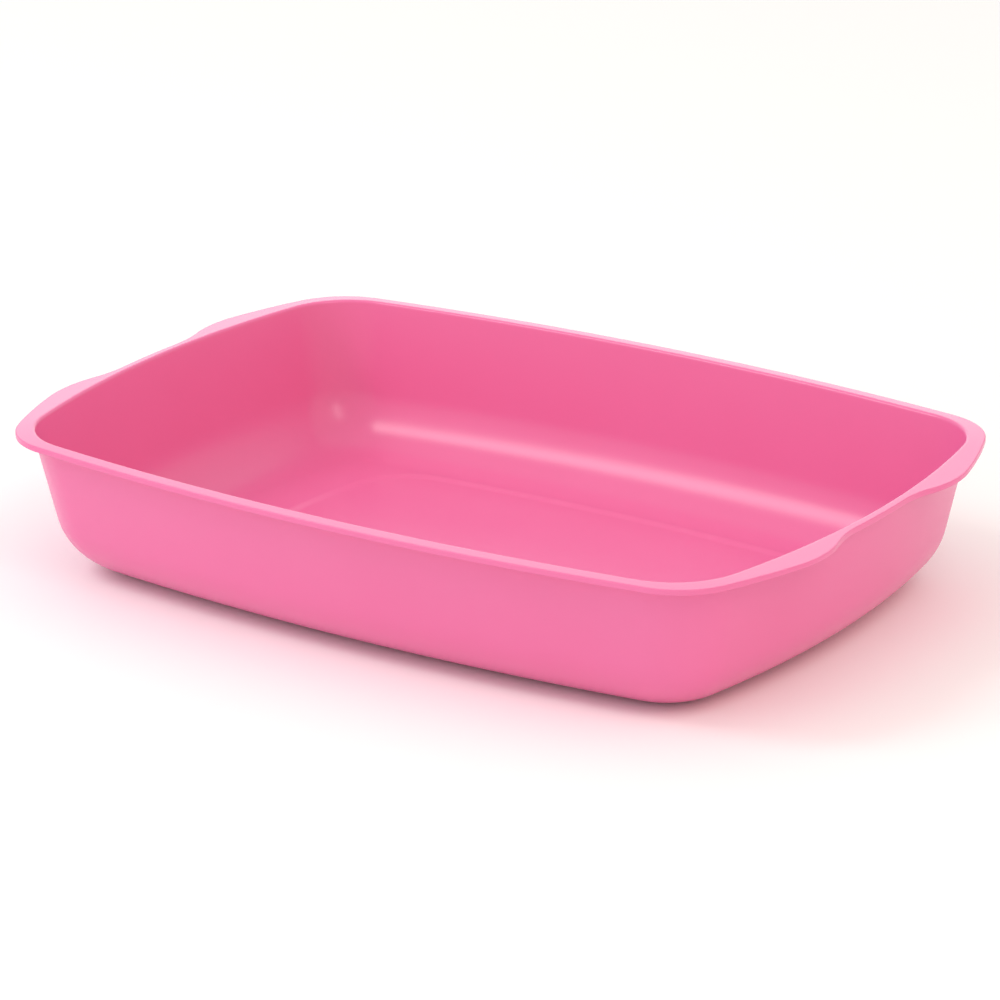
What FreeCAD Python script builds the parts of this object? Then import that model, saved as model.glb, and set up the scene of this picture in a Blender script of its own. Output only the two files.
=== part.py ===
import FreeCAD, Part
import math
import os
import Sketcher

# An open, one-piece litter tray in injection-moulded plastic.
# X runs along the tray, Y across it and Z up. The origin is the middle of the foot's underside.
# Every outline is a rounded rectangle whose four sides bow outwards: side arcs, end arcs and
# corner arcs that run into each other.

SIZES = {
    # the opening, measured at the top edge of the inside wall
    "rimLength": 480.0,
    "rimWidth": 332.0,
    "rimCorner": 44.0,
    "endBow": 560.0,
    "sideBow": 1400.0,
    # the wall and the floor
    "trayHeight": 86.0,
    "wall": 1.8,
    "lean": 12.0,
    "coveRadius": 39.5,
    "cornerTaper": 0.47,
    # the lip around the top
    "sideLip": 8.5,
    "earReach": 19.8,
    "earBow": 345.0,
    "lipCorner": 43.0,
    "lipSlope": 4.0,
    "lipDepth": 4.0,
    # the gap between the two ears of an end, where a hand goes
    "gripLip": 5.4,
    "gripLength": 50.0,
    "shoulder": 70.0,
    # the foot, a shallow step down in the middle of the floor
    "footDrop": 0.8,
    "footSlope": 6.0,
    "footEndInset": 30.0,
    "footSideInset": 1.0,
    "footCorner": 42.0,
    # edges
    "rimRound": 2.0,
    "lipRound": 0.6,
    "lipUnderRound": 2.0,
}

COVE_STEPS = 8
BLANK_MARGIN = 3.0

# Heights and insets, as expressions. An inset is measured inwards from the rim of the inside wall.
HALF_LENGTH = "sizes.rimLength / 2"
HALF_WIDTH = "sizes.rimWidth / 2"
COVE_HEIGHT = "(sizes.footDrop + sizes.wall + sizes.coveRadius)"
COVE_INSET = (
    "((sizes.trayHeight - " + COVE_HEIGHT + " + sizes.coveRadius * sin(sizes.lean)) * tan(sizes.lean)"
    " + sizes.coveRadius * cos(sizes.lean))"
)
UNDER_LIP = "(sizes.trayHeight - sizes.lipDepth)"


def make_sheet(doc):
    sheet = doc.addObject("Spreadsheet::Sheet", "sizes")
    for row, (name, value) in enumerate(SIZES.items(), start=1):
        sheet.set("A%d" % row, name)
        sheet.set("B%d" % row, str(value))
        sheet.setAlias("B%d" % row, name)
    doc.recompute()
    return sheet


def origin_plane(body, role):
    return [plane for plane in body.Origin.OriginFeatures if plane.Role == role][0]


def new_sketch(body, name, height):
    sketch = body.newObject("Sketcher::SketchObject", name)
    sketch.AttachmentSupport = [(origin_plane(body, "XY_Plane"), "")]
    sketch.MapMode = "FlatFace"
    sketch.setExpression("AttachmentOffset.Base.z", height)
    return sketch


def value_of(sketch, expression):
    return float(sketch.evalExpression(expression))


def polar(centre, radius, angle):
    return FreeCAD.Vector(centre.x + radius * math.cos(angle), centre.y + radius * math.sin(angle), 0)


def direction(start, end):
    return math.atan2(end.y - start.y, end.x - start.x)


def meeting_point(first, first_reach, second, second_reach):
    """The point to the left of the line from first to second that is at both distances."""
    gap = second - first
    along = (first_reach ** 2 - second_reach ** 2 + gap.Length ** 2) / (2 * gap.Length)
    across = math.sqrt(first_reach ** 2 - along ** 2)
    ahead = gap / gap.Length
    return first + ahead * along + FreeCAD.Vector(-ahead.y, ahead.x, 0) * across


def add_arc(sketch, centre, radius, start, end):
    circle = Part.Circle(centre, FreeCAD.Vector(0, 0, 1), radius)
    return sketch.addGeometry(Part.ArcOfCircle(circle, start, end), False)


def bind(sketch, constraint, name, expression):
    index = sketch.addConstraint(constraint)
    sketch.renameConstraint(index, name)
    sketch.setExpression("Constraints." + name, expression)


def bind_radius(sketch, arc, name, expression):
    bind(sketch, Sketcher.Constraint("Radius", arc, value_of(sketch, expression)), name, expression)


def centre_on_axis(sketch, arc, axis, side, name, expression):
    """Puts an arc's centre on an axis, at a bound distance from the origin on the given side."""
    distance = value_of(sketch, expression)
    sketch.addConstraint(Sketcher.Constraint("PointOnObject", arc, 3, -1 if axis == "X" else -2))
    points = (arc, 3, -1, 1) if side < 0 else (-1, 1, arc, 3)
    bind(sketch, Sketcher.Constraint("Distance" + axis, *points, distance), name + "Back", expression)


def bowed_outline(sketch, half_length, half_width, end_bow, side_bow, corner):
    """Eight arcs, counter-clockwise from the +X end, each tangent to the next."""
    a, b, end_radius, side_radius, corner_radius = [
        value_of(sketch, text) for text in (half_length, half_width, end_bow, side_bow, corner)
    ]
    end_centre = FreeCAD.Vector(a - end_radius, 0, 0)
    side_centre = FreeCAD.Vector(0, b - side_radius, 0)
    corner_centre = meeting_point(
        end_centre, end_radius - corner_radius, side_centre, side_radius - corner_radius
    )
    low = direction(end_centre, corner_centre)
    high = direction(side_centre, corner_centre)
    arcs = []
    for side in (1, -1):
        turn = 0 if side == 1 else math.pi
        centres = [point * side for point in (end_centre, corner_centre, side_centre)]
        mirrored = FreeCAD.Vector(-corner_centre.x, corner_centre.y, 0) * side
        arcs.append(add_arc(sketch, centres[0], end_radius, turn - low, turn + low))
        arcs.append(add_arc(sketch, centres[1], corner_radius, turn + low, turn + high))
        arcs.append(add_arc(sketch, centres[2], side_radius, turn + high, turn + math.pi - high))
        arcs.append(add_arc(sketch, mirrored, corner_radius, turn + math.pi - high, turn + math.pi - low))
    for here, there in zip(arcs, arcs[1:] + arcs[:1]):
        sketch.addConstraint(Sketcher.Constraint("Tangent", here, 2, there, 1))
    for first, others in ((0, (4,)), (2, (6,)), (1, (3, 5, 7))):
        for index in others:
            sketch.addConstraint(Sketcher.Constraint("Equal", arcs[first], arcs[index]))
    bind_radius(sketch, arcs[0], "endBow", end_bow)
    bind_radius(sketch, arcs[2], "sideBow", side_bow)
    bind_radius(sketch, arcs[1], "corner", corner)
    end_back = "(" + end_bow + ") - (" + half_length + ")"
    side_back = "(" + side_bow + ") - (" + half_width + ")"
    centre_on_axis(sketch, arcs[0], "X", -1, "end", end_back)
    centre_on_axis(sketch, arcs[4], "X", 1, "farEnd", end_back)
    centre_on_axis(sketch, arcs[2], "Y", -1, "side", side_back)
    centre_on_axis(sketch, arcs[6], "Y", 1, "farSide", side_back)


def parallel_section(body, name, height, inset, corner):
    """The opening's outline, moved inwards by an inset and set at a height."""
    sketch = new_sketch(body, name, height)
    bowed_outline(
        sketch,
        HALF_LENGTH + " - (" + inset + ")",
        HALF_WIDTH + " - (" + inset + ")",
        "sizes.endBow",
        "sizes.sideBow",
        corner,
    )
    return sketch


def loft(body, kind, name, sections, ruled):
    feature = body.newObject("PartDesign::" + kind, name)
    feature.Profile = sections[0]
    feature.Sections = sections[1:]
    feature.Ruled = ruled
    return feature


def lip_arcs(sketch):
    """Half of the lip's outline, from the low side of the +X end round to the -X end's high corner.

    Each arc is a centre, a radius, two angles and whether the outline runs along it clockwise.
    """
    half_length, half_width, end_bow, side_bow, ear_reach, ear_bow, corner, side_lip = [
        value_of(sketch, text)
        for text in (HALF_LENGTH, HALF_WIDTH, "sizes.endBow", "sizes.sideBow", "sizes.earReach",
                     "sizes.earBow", "sizes.lipCorner", "sizes.sideLip")
    ]
    grip_lip, grip_length, shoulder = [
        value_of(sketch, "sizes." + name) for name in ("gripLip", "gripLength", "shoulder")
    ]
    side_radius = side_bow + side_lip
    grip_radius = end_bow + grip_lip
    ear_centre = FreeCAD.Vector(half_length + ear_reach - ear_bow, 0, 0)
    side_centre = FreeCAD.Vector(0, half_width - side_bow, 0)
    grip_centre = FreeCAD.Vector(half_length - end_bow, 0, 0)
    corner_centre = meeting_point(ear_centre, ear_bow - corner, side_centre, side_radius - corner)
    grip_end = math.asin(grip_length / 2 / grip_radius)
    hollow_centre = polar(grip_centre, grip_radius + shoulder, grip_end)
    tip_centre = meeting_point(ear_centre, ear_bow - shoulder, hollow_centre, 2 * shoulder)
    low = direction(ear_centre, corner_centre)
    high = direction(side_centre, corner_centre)
    tip = direction(ear_centre, tip_centre)
    step = direction(hollow_centre, tip_centre)
    half = math.pi
    return [
        (ear_centre, ear_bow, -low, -tip, False),
        (across_x(tip_centre), shoulder, -tip, half - step, False),
        (across_x(hollow_centre), shoulder, half - grip_end, 2 * half - step, True),
        (grip_centre, grip_radius, -grip_end, grip_end, False),
        (hollow_centre, shoulder, step, half + grip_end, True),
        (tip_centre, shoulder, step - half, tip, False),
        (ear_centre, ear_bow, tip, low, False),
        (corner_centre, corner, low, high, False),
        (side_centre, side_radius, high, half - high, False),
        (across_x(corner_centre) * -1, corner, half - high, half - low, False),
    ]


def across_x(point):
    return FreeCAD.Vector(point.x, -point.y, 0)


def lip_outline(sketch):
    """The lip seen from above: at each end two ears, and between them the narrow grip."""
    arcs = []
    ports = []
    for turn, side in ((0, 1), (math.pi, -1)):
        for centre, radius, start, end, clockwise in lip_arcs(sketch):
            arcs.append(add_arc(sketch, centre * side, radius, turn + start, turn + end))
            ports.append((2, 1) if clockwise else (1, 2))
    count = len(arcs)
    for here in range(count):
        there = (here + 1) % count
        sketch.addConstraint(
            Sketcher.Constraint("Tangent", arcs[here], ports[here][1], arcs[there], ports[there][0])
        )
    per_end = count // 2
    ear, tip, hollow, grip, corner, side = [arcs[index] for index in (0, 1, 2, 3, 7, 8)]
    for first, others in ((ear, (6, 10, 16)), (tip, (2, 4, 5, 11, 12, 14, 15)), (grip, (13,)),
                          (corner, (9, 17, 19)), (side, (18,))):
        for index in others:
            sketch.addConstraint(Sketcher.Constraint("Equal", first, arcs[index]))
    bind_radius(sketch, ear, "earBow", "sizes.earBow")
    bind_radius(sketch, tip, "shoulder", "sizes.shoulder")
    bind_radius(sketch, grip, "gripBow", "sizes.endBow + sizes.gripLip")
    bind_radius(sketch, corner, "corner", "sizes.lipCorner")
    bind_radius(sketch, side, "sideBow", "sizes.sideBow + sizes.sideLip")
    ear_back = "sizes.earBow - (" + HALF_LENGTH + ") - sizes.earReach"
    grip_back = "sizes.endBow - (" + HALF_LENGTH + ")"
    side_back = "sizes.sideBow - (" + HALF_WIDTH + ")"
    for index in (0, 6):
        centre_on_axis(sketch, arcs[index], "X", -1, "ear%d" % index, ear_back)
        centre_on_axis(sketch, arcs[index + per_end], "X", 1, "farEar%d" % index, ear_back)
    centre_on_axis(sketch, grip, "X", -1, "grip", grip_back)
    centre_on_axis(sketch, arcs[3 + per_end], "X", 1, "farGrip", grip_back)
    centre_on_axis(sketch, side, "Y", -1, "side", side_back)
    centre_on_axis(sketch, arcs[8 + per_end], "Y", 1, "farSide", side_back)
    for index, name, low, high in ((3, "grip", 1, 2), (3 + per_end, "farGrip", 2, 1)):
        for end, points in (("Low", (arcs[index], low, -1, 1)), ("High", (-1, 1, arcs[index], high))):
            bind(sketch, Sketcher.Constraint("DistanceY", *points, 1.0), name + end, "sizes.gripLength / 2")


def wall_section(body, name, side, turn):
    """The outline of one side of the wall, where that surface has turned by an angle from upright."""
    thickness = "sizes.wall" if side == "outer" else "0"
    reach = "(sizes.coveRadius + " + thickness + ")"
    inner_inset = COVE_INSET + " - sizes.coveRadius * cos(" + turn + ")"
    inner_corner = "sizes.rimCorner - sizes.cornerTaper * (" + inner_inset + ")"
    return parallel_section(
        body,
        name,
        COVE_HEIGHT + " - " + reach + " * sin(" + turn + ")",
        COVE_INSET + " - " + reach + " * cos(" + turn + ")",
        inner_corner + " + " + thickness + " * cos(" + turn + ")",
    )


def straight_section(body, name, side, drop):
    """The wall's outline above the cove, a drop below the rim."""
    thickness = "sizes.wall" if side == "outer" else "0"
    inner_drop = "(" + drop + " - " + thickness + " * sin(sizes.lean))"
    inner_inset = inner_drop + " * tan(sizes.lean)"
    inner_corner = "sizes.rimCorner - sizes.cornerTaper * " + inner_inset
    return parallel_section(
        body,
        name,
        "sizes.trayHeight - (" + drop + ")",
        inner_inset + " - " + thickness + " * cos(sizes.lean)",
        inner_corner + " + " + thickness + " * cos(sizes.lean)",
    )


def wall_lofts(body, kind, side, top_drop):
    """A straight leaning wall, then the cove that turns it into the floor."""
    start = wall_section(body, side + "CoveTop", side, "sizes.lean")
    loft(body, kind, side + "Wall", [straight_section(body, side + "Top", side, top_drop), start], True)
    sections = [start]
    for step in range(1, COVE_STEPS + 1):
        turn = "(sizes.lean + (90 - sizes.lean) * %d / %d)" % (step, COVE_STEPS)
        sections.append(wall_section(body, "%sCove%d" % (side, step), side, turn))
    loft(body, kind, side + "Cove", sections, False)


def offset_section(body, name, height, offset):
    """The opening's outline, moved outwards on the flat by an offset."""
    sketch = new_sketch(body, name, height)
    bowed_outline(
        sketch,
        HALF_LENGTH + " + " + offset,
        HALF_WIDTH + " + " + offset,
        "sizes.endBow + " + offset,
        "sizes.sideBow + " + offset,
        "sizes.rimCorner + " + offset,
    )
    return sketch


def lip(body):
    """A blank that slopes down outwards, trimmed to the lip's outline."""
    reach = "(sizes.earReach + %s)" % BLANK_MARGIN
    outer_edge = "sizes.trayHeight - " + reach + " * tan(sizes.lipSlope)"
    sections = [
        offset_section(body, "lipUnder", UNDER_LIP, reach),
        offset_section(body, "lipLow", outer_edge, reach),
        offset_section(body, "lipHigh", "sizes.trayHeight", "0"),
    ]
    loft(body, "AdditiveLoft", "lipBlank", sections, True)
    trim = new_sketch(body, "lipTrim", "sizes.trayHeight")
    lip_outline(trim)
    circle = trim.addGeometry(Part.Circle(FreeCAD.Vector(), FreeCAD.Vector(0, 0, 1), SIZES["rimLength"]))
    trim.addConstraint(Sketcher.Constraint("Coincident", circle, 3, -1, 1))
    bind_radius(trim, circle, "clearance", "sizes.rimLength")
    pocket = body.newObject("PartDesign::Pocket", "lipEdge")
    pocket.Profile = trim
    pocket.Type = "ThroughAll"


def foot_lofts(body, kind, name, low, high, beyond):
    """The sloped step round the foot, between two levels, and upright from there to a third."""
    sections = []
    for index, (level, run) in enumerate(((low, "sizes.footSlope"), (high, "0"), (beyond, "0"))):
        sketch = new_sketch(body, "%s%d" % (name, index), level)
        bowed_outline(
            sketch,
            HALF_LENGTH + " - " + COVE_INSET + " - sizes.footEndInset - " + run,
            HALF_WIDTH + " - " + COVE_INSET + " - sizes.footSideInset - " + run,
            "sizes.endBow",
            "sizes.sideBow",
            "sizes.footCorner - " + run,
        )
        sections.append(sketch)
    loft(body, kind, name, sections, True)


def round_edges(body, name, radius, pick):
    """Rounds the edges that pick finds on the body so far."""
    body.Document.recompute()
    base = body.Tip
    wanted = pick(base.Shape)
    edges = enumerate(base.Shape.Edges, start=1)
    names = ["Edge%d" % index for index, edge in edges if is_among(edge, wanted)]
    fillet = body.newObject("PartDesign::Fillet", name)
    fillet.Base = (base, names)
    fillet.setExpression("Radius", radius)


def is_among(edge, edges):
    return any(edge.isSame(other) for other in edges)


def is_level(edge, height):
    return all(abs(vertex.Z - height) < 0.001 for vertex in edge.Vertexes)


def is_upright(edge):
    first, last = edge.Vertexes[0], edge.Vertexes[-1]
    return math.hypot(last.X - first.X, last.Y - first.Y) < 0.001


def lip_rounds(body, sheet):
    """The inside of the rim, the corner under the lip, and the lip's edge above and below."""
    top = sheet.trayHeight
    under = top - sheet.lipDepth

    def rim(shape):
        return [edge for edge in shape.Edges if is_level(edge, top)]

    def lip_edge(shape):
        upright = [face for face in shape.Faces if isinstance(face.Surface, Part.Cylinder)]
        bands = [face for face in upright if face.BoundBox.ZMin > under - 0.001]
        return [edge for face in bands for edge in face.Edges if not is_upright(edge)]

    def under_corner(shape):
        outline = [face for face in shape.Faces if is_flat_at(face, under)][0].OuterWire.Edges
        return [edge for edge in shape.Edges if is_level(edge, under) and not is_among(edge, outline)]

    ledge = "(sizes.gripLip - sizes.wall)"
    edge = "(sizes.lipDepth - sizes.earReach * tan(sizes.lipSlope))"
    round_edges(body, "rimRounding", "min(sizes.rimRound, sizes.gripLip / 2)", rim)
    round_edges(body, "underRounding", "min(sizes.lipUnderRound, " + ledge + " * 0.6)", under_corner)
    round_edges(body, "lipRounding", "min(sizes.lipRound, " + edge + " * 0.4)", lip_edge)


def is_flat_at(face, height):
    return face.BoundBox.ZLength < 0.001 and abs(face.BoundBox.ZMin - height) < 0.001


def tray(doc, sheet):
    body = doc.addObject("PartDesign::Body", "Tray")
    body.Label = "tray"
    floor = "sizes.footDrop + sizes.wall"
    lip(body)
    wall_lofts(body, "AdditiveLoft", "outer", "sizes.lipDepth / 2")
    foot_lofts(body, "AdditiveLoft", "foot", "0", "sizes.footDrop", "sizes.footDrop + sizes.wall / 2")
    wall_lofts(body, "SubtractiveLoft", "inner", "0")
    foot_lofts(body, "SubtractiveLoft", "recess", "sizes.wall", floor, floor + " + sizes.wall")
    lip_rounds(body, sheet)
    return body


def main():
    doc = FreeCAD.newDocument("litter_tray")
    sheet = make_sheet(doc)
    parts = [tray(doc, sheet)]
    doc.recompute()
    for item in doc.Objects:
        if "Invalid" in item.State or "Error" in item.State:
            raise RuntimeError("%s: %s" % (item.Name, item.State))
    os.makedirs("parts", exist_ok=True)
    for part in parts:
        if part.Shape.isNull() or not part.Shape.isValid():
            raise RuntimeError("%s has no valid shape" % part.Label)
        part.Shape.exportStep("parts/%s.step" % part.Label)
        print(part.Label, len(part.Shape.Solids), part.Shape.Volume, part.Shape.BoundBox)
    return doc


main()
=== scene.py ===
import math

import bpy
import numpy as np
from mathutils import Matrix, Vector


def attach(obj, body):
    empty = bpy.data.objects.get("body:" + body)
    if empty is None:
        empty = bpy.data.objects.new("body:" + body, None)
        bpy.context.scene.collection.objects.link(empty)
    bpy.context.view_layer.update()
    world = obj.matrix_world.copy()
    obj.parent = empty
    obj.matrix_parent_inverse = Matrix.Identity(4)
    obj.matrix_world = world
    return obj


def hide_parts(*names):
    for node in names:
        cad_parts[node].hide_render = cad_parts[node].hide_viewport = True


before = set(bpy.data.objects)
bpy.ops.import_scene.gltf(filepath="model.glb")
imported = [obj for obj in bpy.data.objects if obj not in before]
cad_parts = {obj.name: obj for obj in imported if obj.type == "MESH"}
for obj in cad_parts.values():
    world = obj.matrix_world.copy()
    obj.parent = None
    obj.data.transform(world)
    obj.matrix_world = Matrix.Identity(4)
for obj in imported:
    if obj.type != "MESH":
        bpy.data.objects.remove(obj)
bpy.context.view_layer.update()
print("frame loaded:", sorted(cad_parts))

# the moulding, in mm
tray = {
    "rimHalf": (240.0, 166.0),     # half the opening's length and width
    "bow": (560.0, 1400.0),        # radius of the bowed ends and sides
    "rimCorner": 44.0,
    "cornerTaper": 0.47,           # how fast the corners tighten on the way down
    "height": 86.0,
    "wall": 1.8,
    "lean": 12.0,                  # degrees from upright
    "coveRadius": 39.5,
    "sideLip": 8.5,
    "earReach": 19.8,
    "earBow": 345.0,
    "lipCorner": 43.0,
    "lipSlope": 4.0,               # degrees down, outwards
    "lipDepth": 4.0,
    "gripLip": 5.4,
    "gripLength": 50.0,
    "shoulder": 70.0,
    "footDrop": 0.8,
    "footRun": (7.0, 0.5),         # how far the step's easing runs in and out from the foot's outline
    "footInset": (30.0, 1.0),
    "footCorner": 42.0,
    "rimRound": 2.0,
    "lipRound": 0.6,
    "lipUnderRound": 2.0,
    "skinGap": 0.02,               # how far the skin stays inside the designed edge
    "steps": (80, 36, 50),         # round half an end, a corner and half a side
}


def angleTo(start, end):
    return math.atan2(end[1] - start[1], end[0] - start[0])


# The point left of the line from first to second that lies at both distances.
def meetingPoint(first, firstReach, second, secondReach):
    gap = second - first
    length = np.hypot(*gap)
    along = (firstReach ** 2 - secondReach ** 2 + length ** 2) / (2 * length)
    across = math.sqrt(firstReach ** 2 - along ** 2)
    ahead = gap / length
    return first + ahead * along + np.array([-ahead[1], ahead[0]]) * across


# A rectangle with bowed sides: centre + radius * (cos a, sin a) over an end arc, a corner arc and a side
# arc that run into each other, then mirrored across Y and X. Returns the points and their outward normals.
def bowedLoop(halfLength, halfWidth, corner):
    endBow, sideBow = tray["bow"]
    endCentre = np.array([halfLength - endBow, 0.0])
    sideCentre = np.array([0.0, halfWidth - sideBow])
    cornerCentre = meetingPoint(endCentre, endBow - corner, sideCentre, sideBow - corner)
    low, high = angleTo(endCentre, cornerCentre), angleTo(sideCentre, cornerCentre)
    endSteps, cornerSteps, sideSteps = tray["steps"]
    angles = np.concatenate([
        np.linspace(0, low, endSteps, endpoint=False),
        np.linspace(low, high, cornerSteps, endpoint=False),
        np.linspace(high, math.pi / 2, sideSteps + 1),
    ])
    counts = (endSteps, cornerSteps, sideSteps + 1)
    centres = np.repeat([endCentre, cornerCentre, sideCentre], counts, axis=0)
    radii = np.repeat([endBow, corner, sideBow], counts)
    normals = np.column_stack([np.cos(angles), np.sin(angles)])
    points = centres + radii[:, None] * normals

    def allRound(quarter):
        half = np.concatenate([quarter, (quarter * [-1, 1])[-2::-1]])
        return np.concatenate([half, (half * [1, -1])[-2:0:-1]])

    return allRound(points), allRound(normals)


# A quarter of the lip's edge seen from above, as arcs: centre, radius, lowest and highest angle, and +1
# where it bulges out or -1 where it is hollow. It runs from the grip past the ear and corner to the side.
def lipArcs():
    halfLength, halfWidth = tray["rimHalf"]
    endBow, sideBow = tray["bow"]
    earBow, shoulder, corner = tray["earBow"], tray["shoulder"], tray["lipCorner"]
    sideRadius, gripRadius = sideBow + tray["sideLip"], endBow + tray["gripLip"]
    earCentre = np.array([halfLength + tray["earReach"] - earBow, 0.0])
    sideCentre = np.array([0.0, halfWidth - sideBow])
    gripCentre = np.array([halfLength - endBow, 0.0])
    cornerCentre = meetingPoint(earCentre, earBow - corner, sideCentre, sideRadius - corner)
    gripEnd = math.asin(tray["gripLength"] / 2 / gripRadius)
    hollowCentre = gripCentre + (gripRadius + shoulder) * np.array([math.cos(gripEnd), math.sin(gripEnd)])
    tipCentre = meetingPoint(earCentre, earBow - shoulder, hollowCentre, 2 * shoulder)
    low, high = angleTo(earCentre, cornerCentre), angleTo(sideCentre, cornerCentre)
    tip, step = angleTo(earCentre, tipCentre), angleTo(hollowCentre, tipCentre)
    return [
        (gripCentre, gripRadius, -gripEnd, gripEnd, 1),
        (hollowCentre, shoulder, step, math.pi + gripEnd, -1),
        (tipCentre, shoulder, step - math.pi, tip, 1),
        (earCentre, earBow, tip, low, 1),
        (cornerCentre, corner, low, high, 1),
        (sideCentre, sideRadius, high, math.pi - high, 1),
    ]


# How far the lip reaches from the rim. The ray point + t * normal meets an arc's circle where
# |point + t * normal - centre| = radius, and the root kept is the one that lies on the arc.
def lipReach(points, normals):
    points, normals = np.abs(points), np.abs(normals)
    reach = np.full(len(points), np.inf)
    slack = 1e-5                   # radians an arc's ends may be overrun
    for centre, radius, start, end, bulge in lipArcs():
        away = points - centre
        half = (away * normals).sum(axis=1)
        rest = half ** 2 - (away ** 2).sum(axis=1) + radius ** 2
        root = -half + bulge * np.sqrt(np.maximum(rest, 0))
        hit = away + root[:, None] * normals
        angle = np.arctan2(hit[:, 1], hit[:, 0])
        angle = np.where(angle < start - slack, angle + 2 * math.pi, angle)
        met = (rest >= 0) & (angle <= end + slack) & (root > 0)
        reach = np.where(met, np.minimum(reach, root), reach)
    return reach


# The wall's cross-section, from the middle of the floor up the inside, over the lip, down the outside and
# under the foot. Each station is a loop round the tray, so the whole skin is one grid: station by step.
def trayStations():
    half = np.array(tray["rimHalf"])
    height, wall, lean = tray["height"], tray["wall"], math.radians(tray["lean"])
    cove, corner, taper = tray["coveRadius"], tray["rimCorner"], tray["cornerTaper"]
    coveHeight = tray["footDrop"] + wall + cove
    coveTop = coveHeight - cove * math.sin(lean)
    coveInset = (height - coveTop) * math.tan(lean) + cove * math.cos(lean)
    rim, rimNormals = bowedLoop(*half, corner)
    leanSpan = 10                  # mm of height over which the wall's lean is read
    insideStop, outsideStop = 3, 2  # mm left free below the rim, and below the rounding under the lip
    stations = []

    def atLevel(points, level):
        return np.column_stack([points, np.broadcast_to(level, len(points))])

    # rings out from the middle, then the step: a smooth 3s^2 - 2s^3 rise by the foot's drop
    def footLoops(level, order):
        runIn, runOut = tray["footRun"]
        outline = coveInset + np.array(tray["footInset"])
        flatHalf, flatCorner = half - outline - runIn, tray["footCorner"] - runIn
        rings = [(share * flatHalf, share * flatCorner, 0) for share in (0.02, 0.3, 0.6, 0.85, 0.96, 0.99)]
        for share in np.linspace(0, 1, 11):
            grown = (runIn + runOut) * share
            rise = tray["footDrop"] * (3 * share ** 2 - 2 * share ** 3)
            rings.append((flatHalf + grown, flatCorner + grown, rise))
        for size, ringCorner, rise in rings[::order]:
            stations.append(atLevel(bowedLoop(*size, ringCorner)[0], level + rise))

    # The wall's inside, or its outside a thickness away, where the cove has turned it from upright:
    # inset = coveInset - (cove + thickness) * cos turn, level = coveHeight - (cove + thickness) * sin turn.
    def coveLoop(turn, thickness):
        inset = coveInset - (cove + thickness) * math.cos(turn)
        innerInset = coveInset - cove * math.cos(turn)
        loopCorner = corner - taper * innerInset + thickness * math.cos(turn)
        level = coveHeight - (cove + thickness) * math.sin(turn)
        return atLevel(bowedLoop(*(half - inset), loopCorner)[0], level)

    def wallLoop(level, thickness):
        innerInset = (height - level - thickness * math.sin(lean)) * math.tan(lean)
        inset = innerInset - thickness * math.cos(lean)
        loopCorner = corner - taper * innerInset + thickness * math.cos(lean)
        return atLevel(bowedLoop(*(half - inset), loopCorner)[0], level)

    # how far the wall stands out from the rim at a level, along each rim normal
    def wallOut(level, thickness):
        return ((wallLoop(level, thickness)[:, :2] - rim) * rimNormals).sum(axis=1)

    # on the lip a place is a distance out along the rim's normal, and a level
    def lipLoop(out, level):
        out = np.broadcast_to(out, len(rim))
        stations.append(atLevel(rim + out[:, None] * rimNormals, level))

    # a rounding: middle + radius * (cos turn, sin turn) in that plane, between two turns
    def roundLoops(out, level, radius, start, end, count):
        for share in np.linspace(0, 1, count):
            turn = start + (end - start) * share
            lipLoop(out + radius * np.cos(turn), level + radius * np.sin(turn))

    footLoops(wall, 1)
    for turn in np.linspace(math.pi / 2, lean, 21):
        stations.append(coveLoop(turn, 0))
    for level in np.linspace(coveTop, height - insideStop, 8)[1:]:
        stations.append(wallLoop(level, 0))

    # inside of the rim, between the wall's own lean there and the sloping top
    slope, rimRound = math.radians(tray["lipSlope"]), tray["rimRound"]
    innerLean = np.arctan(-wallOut(height - leanSpan, 0) / leanSpan)
    spread = rimRound / (1 + np.sin(innerLean - slope))
    middleOut = spread * (np.cos(innerLean) - math.sin(slope))
    middleLevel = height - spread * (np.sin(innerLean) + math.cos(slope))
    roundLoops(middleOut, middleLevel, rimRound, math.pi - innerLean, math.pi / 2 - slope, 11)

    # the lip's top, its edge and its underside
    reach, edgeRound = lipReach(rim, rimNormals) - tray["skinGap"], tray["lipRound"]
    topStart = middleOut + rimRound * math.sin(slope)
    edgeOut = reach - edgeRound
    topEnd = edgeOut + edgeRound * math.sin(slope)
    for share in (0.06, 0.35, 0.65, 0.94):
        out = topStart + (topEnd - topStart) * share
        lipLoop(out, height - out * math.tan(slope))
    edgeTop = height - edgeOut * math.tan(slope) - edgeRound / math.cos(slope)
    under = height - tray["lipDepth"]
    edgeLow = under + edgeRound
    roundLoops(edgeOut, edgeTop, edgeRound, math.pi / 2 - slope, 0, 6)
    for share in (0.2, 0.8):
        lipLoop(reach, edgeTop + (edgeLow - edgeTop) * share)
    roundLoops(edgeOut, edgeLow, edgeRound, 0, -math.pi / 2, 6)

    # the hollow corner under the lip, then the outside of the wall
    underRound = tray["lipUnderRound"]
    outerLean = np.arctan((wallOut(under, wall) - wallOut(under - leanSpan, wall)) / leanSpan)
    cornerOut = wallOut(under, wall) + underRound * np.cos(outerLean) / (1 + np.sin(outerLean))
    for share in (0.06, 0.5, 0.94):
        lipLoop(edgeOut + (cornerOut - edgeOut) * share, under)
    roundLoops(cornerOut, under - underRound, underRound, math.pi / 2, math.pi - outerLean, 7)
    for level in np.linspace(under - underRound - outsideStop, coveTop, 8)[:-1]:
        stations.append(wallLoop(level, wall))
    for turn in np.linspace(lean, math.pi / 2, 21):
        stations.append(coveLoop(turn, wall))
    footLoops(0.0, -1)
    return np.array(stations)


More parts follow.
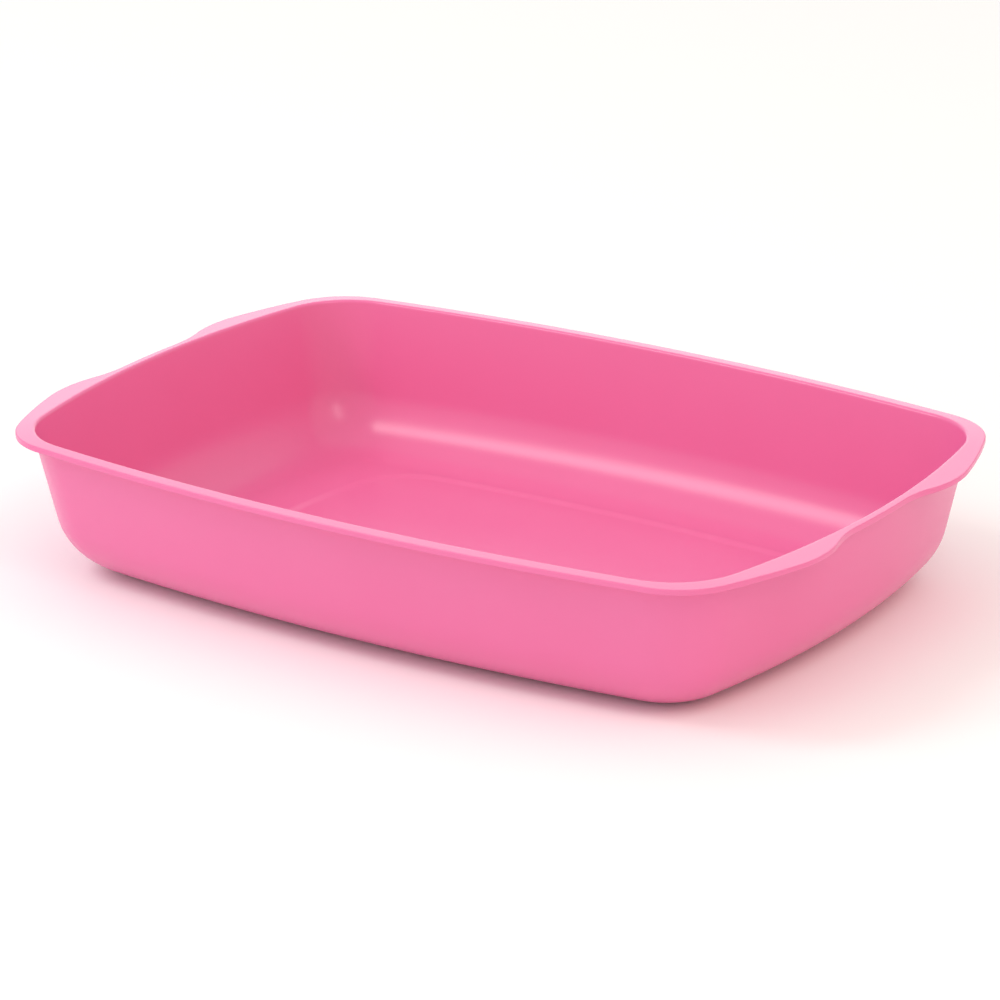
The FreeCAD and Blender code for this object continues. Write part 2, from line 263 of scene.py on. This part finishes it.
# One closed skin from a grid of loops: a four-sided face between each two stations and steps, and a fan of
# triangles to a pole in the middle of the first and the last loop.
def meshFromStations(name, stations):
    rows, columns = stations.shape[:2]
    poles = [stations[0].mean(axis=0), stations[-1].mean(axis=0)]
    points = np.concatenate([stations.reshape(-1, 3), poles]) * 0.001
    row, column = np.meshgrid(np.arange(rows - 1), np.arange(columns), indexing="ij")
    here, beside = row * columns + column, row * columns + (column + 1) % columns
    quads = np.stack([here, here + columns, beside + columns, beside], axis=-1).reshape(-1, 4)
    step, following = np.arange(columns), (np.arange(columns) + 1) % columns
    firstPole, lastPole = rows * columns, rows * columns + 1
    lastRow = (rows - 1) * columns
    fans = np.concatenate([
        np.column_stack([np.full(columns, firstPole), step, following]),
        np.column_stack([np.full(columns, lastPole), lastRow + following, lastRow + step]),
    ])
    corners = np.concatenate([quads.ravel(), fans.ravel()])
    sizes = np.concatenate([np.full(len(quads), 4), np.full(len(fans), 3)])
    mesh = bpy.data.meshes.new(name)
    mesh.vertices.add(len(points))
    mesh.vertices.foreach_set("co", points.ravel())
    mesh.loops.add(len(corners))
    mesh.loops.foreach_set("vertex_index", corners)
    mesh.polygons.add(len(sizes))
    mesh.polygons.foreach_set("loop_start", np.concatenate([[0], np.cumsum(sizes)[:-1]]))
    mesh.polygons.foreach_set("use_smooth", np.ones(len(sizes), bool))
    mesh.update(calc_edges=True)
    mesh.validate()
    piece = bpy.data.objects.new(name, mesh)
    bpy.context.scene.collection.objects.link(piece)
    return piece


# sRGB hex to linear: c / 12.92 below 0.04045, otherwise ((c + 0.055) / 1.055) ^ 2.4
def colour(hexValue):
    channels = np.array([int(hexValue[start:start + 2], 16) for start in (1, 3, 5)]) / 255
    linear = np.where(channels <= 0.04045, channels / 12.92, ((channels + 0.055) / 1.055) ** 2.4)
    return (*linear.tolist(), 1.0)


# adds a node, sets its properties and sockets, and links sockets to (node, output) pairs
def addNode(tree, kind, properties=None, values=None, links=None):
    node = tree.nodes.new(kind)
    for key, value in (properties or {}).items():
        setattr(node, key, value)
    for key, value in (values or {}).items():
        node.inputs[key].default_value = value
    for key, (source, output) in (links or {}).items():
        tree.links.new(source.outputs[output], node.inputs[key])
    return node


polypropylene = {
    "pink": "#e872a5",
    "deepPink": "#e66ea1",
    "ior": 1.49,
    "roughness": (0.26, 0.27),
    "cloud": 60,                   # mm across one patch of slightly uneven colour
    "sink": 35,                    # mm across one ripple of the cooled skin
    "sinkDepth": 0.03,             # mm
    "grain": 1.2,                  # mm across one fleck; the real bloom is finer, this is as fine as shows
    "grainDepth": 0.0012,
}


# Polypropylene, injection moulded in a polished steel mould: smooth and softly glossy with blurred
# highlights, a very slow ripple where the skin sank as it cooled, and a faint fine grain in the gloss.
def mouldedPolypropylene():
    material = bpy.data.materials.new("mouldedPinkPolypropylene")
    material.use_nodes = True
    tree = material.node_tree
    tree.nodes.clear()
    place = addNode(tree, "ShaderNodeTexCoord")

    def noise(size, detail):
        return addNode(tree, "ShaderNodeTexNoise", values={"Scale": 1000 / size, "Detail": detail},
                       links={"Vector": (place, "Object")})

    cloud = noise(polypropylene["cloud"], 2)
    sink = noise(polypropylene["sink"], 1)
    grain = noise(polypropylene["grain"], 2)
    tint = addNode(tree, "ShaderNodeMix", {"data_type": "RGBA"}, {
        6: colour(polypropylene["pink"]), 7: colour(polypropylene["deepPink"])}, {0: (cloud, "Fac")})
    dull, bright = polypropylene["roughness"][::-1]
    gloss = addNode(tree, "ShaderNodeMapRange", values={"To Min": bright, "To Max": dull},
                    links={"Value": (grain, "Fac")})
    ripple = addNode(tree, "ShaderNodeBump", values={"Distance": polypropylene["sinkDepth"] / 1000},
                     links={"Height": (sink, "Fac")})
    skin = addNode(tree, "ShaderNodeBump", values={"Distance": polypropylene["grainDepth"] / 1000},
                   links={"Height": (grain, "Fac"), "Normal": (ripple, "Normal")})
    plastic = addNode(tree, "ShaderNodeBsdfPrincipled", values={"IOR": polypropylene["ior"]}, links={
        "Base Color": (tint, 2), "Roughness": (gloss, "Result"), "Normal": (skin, "Normal")})
    addNode(tree, "ShaderNodeOutputMaterial", links={"Surface": (plastic, "BSDF")})
    return material


trayPiece = meshFromStations("trayMoulding", trayStations())
trayPiece.data.materials.append(mouldedPolypropylene())
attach(trayPiece, "root")
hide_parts("tray")
print("tray moulded:", len(trayPiece.data.polygons), "faces")

studio = {
    "floorHalf": 12.0,             # m
    "floorColour": "#fbfbfa",
    "floorRoughness": 0.9,
    "floorSpecular": 0.1,
    "skyLeft": "#fbfcff",          # the white room, a little cool to the left of the tray
    "skyRight": "#fffcf4",         # and a little warm to its right
    "skyStrength": 0.89,
    "boxes": {                     # m and W: above, for the band of light in the far cove
        "softboxAbove": {"at": (-1.52, -1.16, 2.03), "size": (0.6, 1.2), "power": 17},
        # behind, for the pale lip: only its reflection is wanted, so it casts no shadow
        "softboxBehind": {"at": (-1.9, 2.7, 1.2), "size": (2.2, 2.2), "power": 16, "lights": False},
        # in front, a cool fill for the outside
        "fillFront": {"at": (-1.6, -2.4, 1.2), "size": (1.6, 1.6), "power": 8, "tint": "#f6f4ff",
                      "mirrored": False},
        # from the right, a warm fill for the left end's inside
        "fillRight": {"at": (2.2, -0.3, 1.9), "size": (1.6, 1.6), "power": 9, "tint": "#ff9a62",
                      "mirrored": False},
        # from the right too, a narrow glint in the far left corner
        "stripRight": {"at": (1.55, -0.9, 2.1), "size": (0.35, 1.3), "power": 7},
    },
}


def studioFloor():
    corners = np.array([[-1, -1, 0], [1, -1, 0], [1, 1, 0], [-1, 1, 0]]) * studio["floorHalf"]
    mesh = bpy.data.meshes.new("studioFloor")
    mesh.from_pydata(corners.tolist(), [], [(0, 1, 2, 3)])
    floor = bpy.data.objects.new("studioFloor", mesh)
    bpy.context.scene.collection.objects.link(floor)
    material = bpy.data.materials.new("whiteStudioPaper")
    material.use_nodes = True
    tree = material.node_tree
    tree.nodes.clear()
    paper = addNode(tree, "ShaderNodeBsdfPrincipled", values={
        "Base Color": colour(studio["floorColour"]), "Roughness": studio["floorRoughness"],
        "Specular IOR Level": studio["floorSpecular"]})
    addNode(tree, "ShaderNodeOutputMaterial", links={"Surface": (paper, "BSDF")})
    mesh.materials.append(material)


# an area light turned to the tray: one that doesn't light shows only in the gloss, one that isn't mirrored
# gives light and no gloss
def softbox(name, at, size, power, tint="#ffffff", lights=True, mirrored=True):
    light = bpy.data.lights.new(name, "AREA")
    light.shape = "RECTANGLE"
    light.size, light.size_y = size
    light.energy = power
    light.color = colour(tint)[:3]
    lamp = bpy.data.objects.new(name, light)
    lamp.location = at
    lamp.rotation_euler = (-Vector(at)).to_track_quat("-Z", "Y").to_euler()
    lamp.visible_diffuse = lights
    lamp.visible_glossy = mirrored
    bpy.context.scene.collection.objects.link(lamp)


# the room's white walls: the tint follows the direction's X, from left to right
def studioSky():
    world = bpy.data.worlds.new("whiteStudio")
    world.use_nodes = True
    tree = world.node_tree
    tree.nodes.clear()
    direction = addNode(tree, "ShaderNodeTexCoord")
    parts = addNode(tree, "ShaderNodeSeparateXYZ", links={"Vector": (direction, "Generated")})
    across = addNode(tree, "ShaderNodeMapRange", values={"From Min": -1, "From Max": 1},
                     links={"Value": (parts, "X")})
    tint = addNode(tree, "ShaderNodeMix", {"data_type": "RGBA"}, {
        6: colour(studio["skyLeft"]), 7: colour(studio["skyRight"])}, {0: (across, "Result")})
    sky = addNode(tree, "ShaderNodeBackground", values={"Strength": studio["skyStrength"]},
                  links={"Color": (tint, 2)})
    addNode(tree, "ShaderNodeOutputWorld", links={"Surface": (sky, "Background")})
    bpy.context.scene.world = world


studioFloor()
for boxName, box in studio["boxes"].items():
    softbox(boxName, **box)
studioSky()
print("studio lit")

lens = {
    "azimuth": 34.42,              # degrees, from -Y towards +X
    "elevation": 19.95,
    "roll": -0.52,
    "distance": 2.7428,            # m, from the aim
    "aim": (0.06485, -0.09386, 0.086),
    "focalLength": 185.2,          # mm
    "sensorWidth": 36,
    "clip": (0.05, 60),            # m
}


# back = (sin a cos e, -cos a cos e, sin e), right = (cos a, sin a, 0), up = back x right, then rolled
# about back
def placeCamera():
    azimuth, elevation, roll = [math.radians(lens[key]) for key in ("azimuth", "elevation", "roll")]
    back = Vector((math.sin(azimuth) * math.cos(elevation), -math.cos(azimuth) * math.cos(elevation),
                   math.sin(elevation)))
    right = Vector((math.cos(azimuth), math.sin(azimuth), 0))
    up = back.cross(right)
    rolledRight = right * math.cos(roll) + up * math.sin(roll)
    rolledUp = up * math.cos(roll) - right * math.sin(roll)
    data = bpy.data.cameras.new("studioCamera")
    data.lens = lens["focalLength"]
    data.sensor_width = lens["sensorWidth"]
    data.clip_start, data.clip_end = lens["clip"]
    camera = bpy.data.objects.new("studioCamera", data)
    bpy.context.scene.collection.objects.link(camera)
    turned = Matrix((rolledRight, rolledUp, back)).transposed()
    place = Vector(lens["aim"]) + back * lens["distance"]
    camera.matrix_world = Matrix.Translation(place) @ turned.to_4x4()
    bpy.context.scene.camera = camera
    bpy.context.scene.view_settings.view_transform = "Standard"


placeCamera()
print("camera placed")
